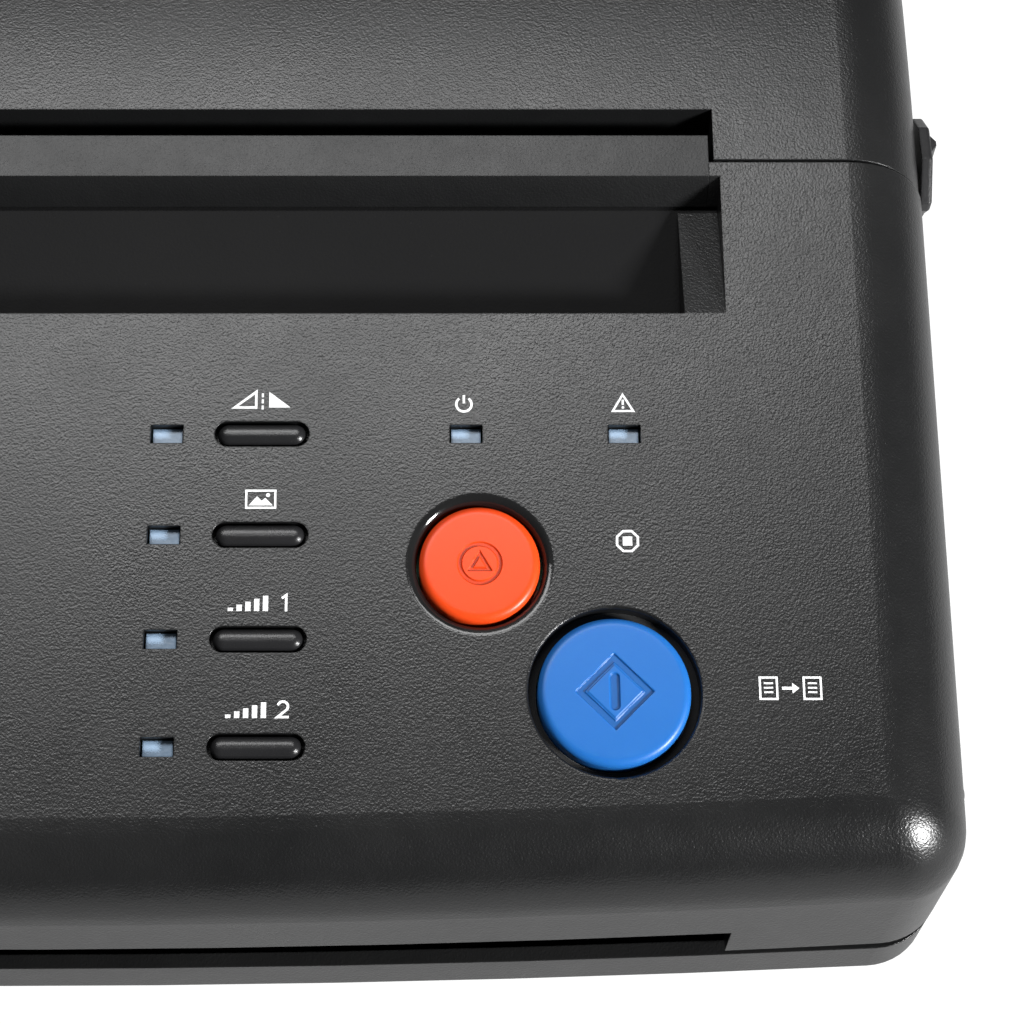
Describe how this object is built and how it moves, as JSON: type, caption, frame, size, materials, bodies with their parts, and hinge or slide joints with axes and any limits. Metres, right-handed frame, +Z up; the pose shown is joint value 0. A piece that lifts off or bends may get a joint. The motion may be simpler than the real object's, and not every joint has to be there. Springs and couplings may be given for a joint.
{
  "type": "thermal stencil copier",
  "caption": "Low desktop copier that feeds a sheet under a sloping control panel and prints a thermal stencil under a hinged rear lid.",
  "frame": {"origin": "on the table under the middle of the case", "axes": "+Z up, +X to the user's right, +Y from the user to the rear"},
  "size_m": [0.2978, 0.2016, 0.0687],
  "materials": {
    "case_plastic": "fine moulded texture",
    "guide_plastic": "smooth moulded",
    "key_plastic": "satin",
    "stop_plastic": "satin",
    "copy_plastic": "satin",
    "lamp_lens": "frosted",
    "foot_rubber": "matt",
    "roller_rubber": "ground",
    "tyre_rubber": "matt",
    "plated_steel": "zinc plated",
    "shaft_steel": "ground",
    "spring_steel": "drawn wire",
    "screw_steel": "zinc plated",
    "gear_nylon": "moulded nylon",
    "bush_acetal": "acetal",
    "heatsink": "extruded",
    "head_ceramic": "glazed",
    "glass": "clear",
    "board_green": "solder mask",
    "motor_steel": "plated can",
    "switch_black": "satin"
  },
  "bodies": {
    "lower_case": {"base_tub": "case_plastic", "rubber_feet": "foot_rubber", "left_chassis_plate": "plated_steel", "right_chassis_plate": "plated_steel", "roller_bushes": "bush_acetal", "idler_studs": "shaft_steel", "front_hinge_arms": "plated_steel", "rear_hinge_arms": "plated_steel", "case_screws": "screw_steel", "document_guide": "guide_plastic", "image_sensor": "guide_plastic", "sensor_glass": "glass", "stencil_guide": "guide_plastic", "stencil_motor": "motor_steel", "document_motor": "motor_steel", "main_board": "board_green", "power_board": "board_green", "power_inlet": "switch_black", "switch_housing": "switch_black"},
    "front_cover": {"front_cover": "case_plastic", "ridge_bar": "case_plastic", "upper_guide": "guide_plastic", "panel_board": "board_green", "tact_switches": "switch_black", "lamp_lenses": "lamp_lens", "panel_screws": "screw_steel", "front_hinge_pins": "shaft_steel"},
    "rear_cover": {"rear_cover": "case_plastic", "head_posts": "shaft_steel", "head_springs": "spring_steel", "latch_pins": "shaft_steel", "rear_hinge_pins": "shaft_steel"},
    "print_head": {"head_heatsink": "heatsink", "thermal_head": "head_ceramic"},
    "latch": {"latch_shaft": "shaft_steel", "latch_hooks": "plated_steel", "left_latch_lever": "key_plastic", "right_latch_lever": "key_plastic"},
    "platen": {"platen_shaft": "shaft_steel", "platen_rubber": "roller_rubber", "platen_gear": "gear_nylon"},
    "stencil_idler": {"stencil_idler_gear": "gear_nylon"},
    "stencil_drive": {"stencil_pinion": "gear_nylon"},
    "feed_roller": {"feed_shaft": "shaft_steel", "feed_tyres": "tyre_rubber", "feed_gear": "gear_nylon"},
    "exit_roller": {"exit_shaft": "shaft_steel", "exit_tyres": "tyre_rubber", "exit_gear": "gear_nylon"},
    "document_idler": {"document_idler_gear": "gear_nylon"},
    "document_drive": {"document_pinion": "gear_nylon"},
    "feed_pinch": {"feed_pinch_roller": "tyre_rubber"},
    "exit_pinch": {"exit_pinch_roller": "tyre_rubber"},
    "power_rocker": {"power_rocker": "switch_black"},
    "stop_button": {"stop_button": "stop_plastic"},
    "copy_button": {"copy_button": "copy_plastic"},
    "mirror_key": {"mirror_key": "key_plastic"},
    "photo_key": {"photo_key": "key_plastic"},
    "depth_one_key": {"depth_one_key": "key_plastic"},
    "depth_two_key": {"depth_two_key": "key_plastic"}
  },
  "joints": [
    {"name": "rear_cover_hinge", "type": "hinge", "parent": "lower_case", "child": "rear_cover", "pos_m": [0, 0.091, 0.038], "axis": [-1, 0, 0], "range_deg": [0, 70]},
    {"name": "front_cover_hinge", "type": "hinge", "parent": "lower_case", "child": "front_cover", "pos_m": [0, -0.0885, 0.032], "axis": [1, 0, 0], "range_deg": [0, 30]},
    {"name": "latch_turn", "type": "hinge", "parent": "lower_case", "child": "latch", "pos_m": [0, 0.024, 0.02], "axis": [-1, 0, 0], "range_deg": [0, 18]},
    {"name": "head_float", "type": "slide", "parent": "rear_cover", "child": "print_head", "axis": [0, 0, 1], "range_m": [0, 0.0012], "stiffness_N_per_m": 4000, "springref_m": -0.002, "deforming": ["head_springs"]},
    {"name": "platen_spin", "type": "hinge", "parent": "lower_case", "child": "platen", "pos_m": [0, 0.044, 0.04], "axis": [1, 0, 0], "continuous": true},
    {"name": "stencil_idler_spin", "type": "hinge", "parent": "lower_case", "child": "stencil_idler", "pos_m": [0, 0.06035, 0.02528], "axis": [1, 0, 0], "continuous": true},
    {"name": "stencil_drive_spin", "type": "hinge", "parent": "lower_case", "child": "stencil_drive", "pos_m": [0, 0.07538, 0.01981], "axis": [1, 0, 0], "continuous": true},
    {"name": "feed_spin", "type": "hinge", "parent": "lower_case", "child": "feed_roller", "pos_m": [0, -0.04785, 0.02851], "axis": [1, 0, 0], "continuous": true},
    {"name": "document_drive_spin", "type": "hinge", "parent": "lower_case", "child": "document_drive", "pos_m": [0, -0.03201, 0.02629], "axis": [1, 0, 0], "continuous": true},
    {"name": "document_idler_spin", "type": "hinge", "parent": "lower_case", "child": "document_idler", "pos_m": [0, -0.06128, 0.01982], "axis": [1, 0, 0], "continuous": true},
    {"name": "exit_spin", "type": "hinge", "parent": "lower_case", "child": "exit_roller", "pos_m": [0, -0.07324, 0.01882], "axis": [1, 0, 0], "continuous": true},
    {"name": "feed_pinch_spin", "type": "hinge", "parent": "front_cover", "child": "feed_pinch", "pos_m": [0, -0.05207, 0.03846], "axis": [1, 0, 0], "continuous": true},
    {"name": "exit_pinch_spin", "type": "hinge", "parent": "front_cover", "child": "exit_pinch", "pos_m": [0, -0.07707, 0.02784], "axis": [1, 0, 0], "continuous": true},
    {"name": "rocker_tilt", "type": "hinge", "parent": "lower_case", "child": "power_rocker", "pos_m": [-0.04, 0.0973, 0.0158], "axis": [1, 0, 0], "range_deg": [0, 18]},
    {"name": "stop_press", "type": "slide", "parent": "front_cover", "child": "stop_button", "axis": [0, 0.1736, -0.9848], "range_m": [0, 0.0008], "stiffness_N_per_m": 600, "springref_m": -0.001},
    {"name": "copy_press", "type": "slide", "parent": "front_cover", "child": "copy_button", "axis": [0, 0.1736, -0.9848], "range_m": [0, 0.0008], "stiffness_N_per_m": 600, "springref_m": -0.001},
    {"name": "mirror_key_press", "type": "slide", "parent": "front_cover", "child": "mirror_key", "axis": [0, 0.1736, -0.9848], "range_m": [0, 0.0005], "stiffness_N_per_m": 500, "springref_m": -0.001},
    {"name": "photo_key_press", "type": "slide", "parent": "front_cover", "child": "photo_key", "axis": [0, 0.1736, -0.9848], "range_m": [0, 0.0005], "stiffness_N_per_m": 500, "springref_m": -0.001},
    {"name": "depth_one_key_press", "type": "slide", "parent": "front_cover", "child": "depth_one_key", "axis": [0, 0.1736, -0.9848], "range_m": [0, 0.0005], "stiffness_N_per_m": 500, "springref_m": -0.001},
    {"name": "depth_two_key_press", "type": "slide", "parent": "front_cover", "child": "depth_two_key", "axis": [0, 0.1736, -0.9848], "range_m": [0, 0.0005], "stiffness_N_per_m": 500, "springref_m": -0.001}
  ],
  "couplings": [
    {"joint": "stencil_idler_spin", "follows": "platen_spin", "ratio": -1.2},
    {"joint": "stencil_drive_spin", "follows": "platen_spin", "ratio": 2},
    {"joint": "document_drive_spin", "follows": "feed_spin", "ratio": -1.6667},
    {"joint": "document_idler_spin", "follows": "feed_spin", "ratio": -1.6667},
    {"joint": "exit_spin", "follows": "feed_spin", "ratio": 1.6667},
    {"joint": "feed_pinch_spin", "follows": "feed_spin", "ratio": -1.3333},
    {"joint": "exit_pinch_spin", "follows": "feed_spin", "ratio": -1.8519}
  ]
}
